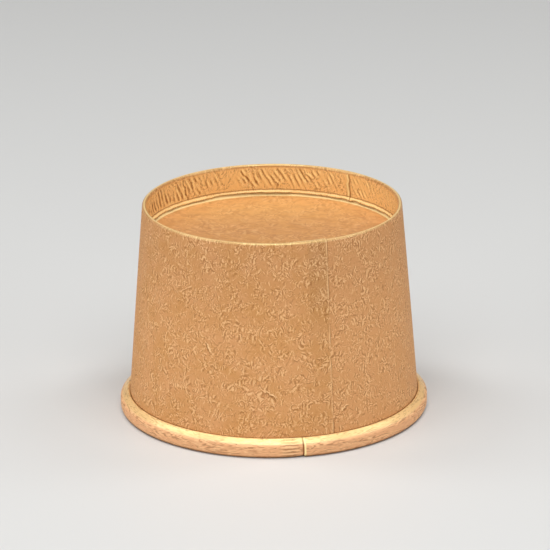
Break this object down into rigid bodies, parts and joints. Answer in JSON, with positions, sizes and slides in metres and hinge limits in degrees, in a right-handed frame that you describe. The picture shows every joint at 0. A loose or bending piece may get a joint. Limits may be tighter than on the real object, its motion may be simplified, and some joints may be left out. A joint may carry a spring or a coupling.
{
  "type": "paper soup container",
  "caption": "Round tapered kraft paper tub with a rolled mouth rim and a recessed base held in a folded, knurled foot, shown standing on its mouth.",
  "frame": {"origin": "centre of the ring on which the mouth rim rests, with the tub standing upside down", "axes": "+Z along the tub's axis from the mouth towards the foot; -Y is the front, and the lap seam is a little to its right"},
  "size_m": [0.09, 0.09, 0.062],
  "materials": {
    "wall_board": "uncoated kraft board, satin, mottled fibres",
    "base_board": "uncoated kraft board, satin, straight grain"
  },
  "bodies": {
    "root": {"side_wall": "wall_board", "base_disc": "base_board"}
  },
  "joints": []
}
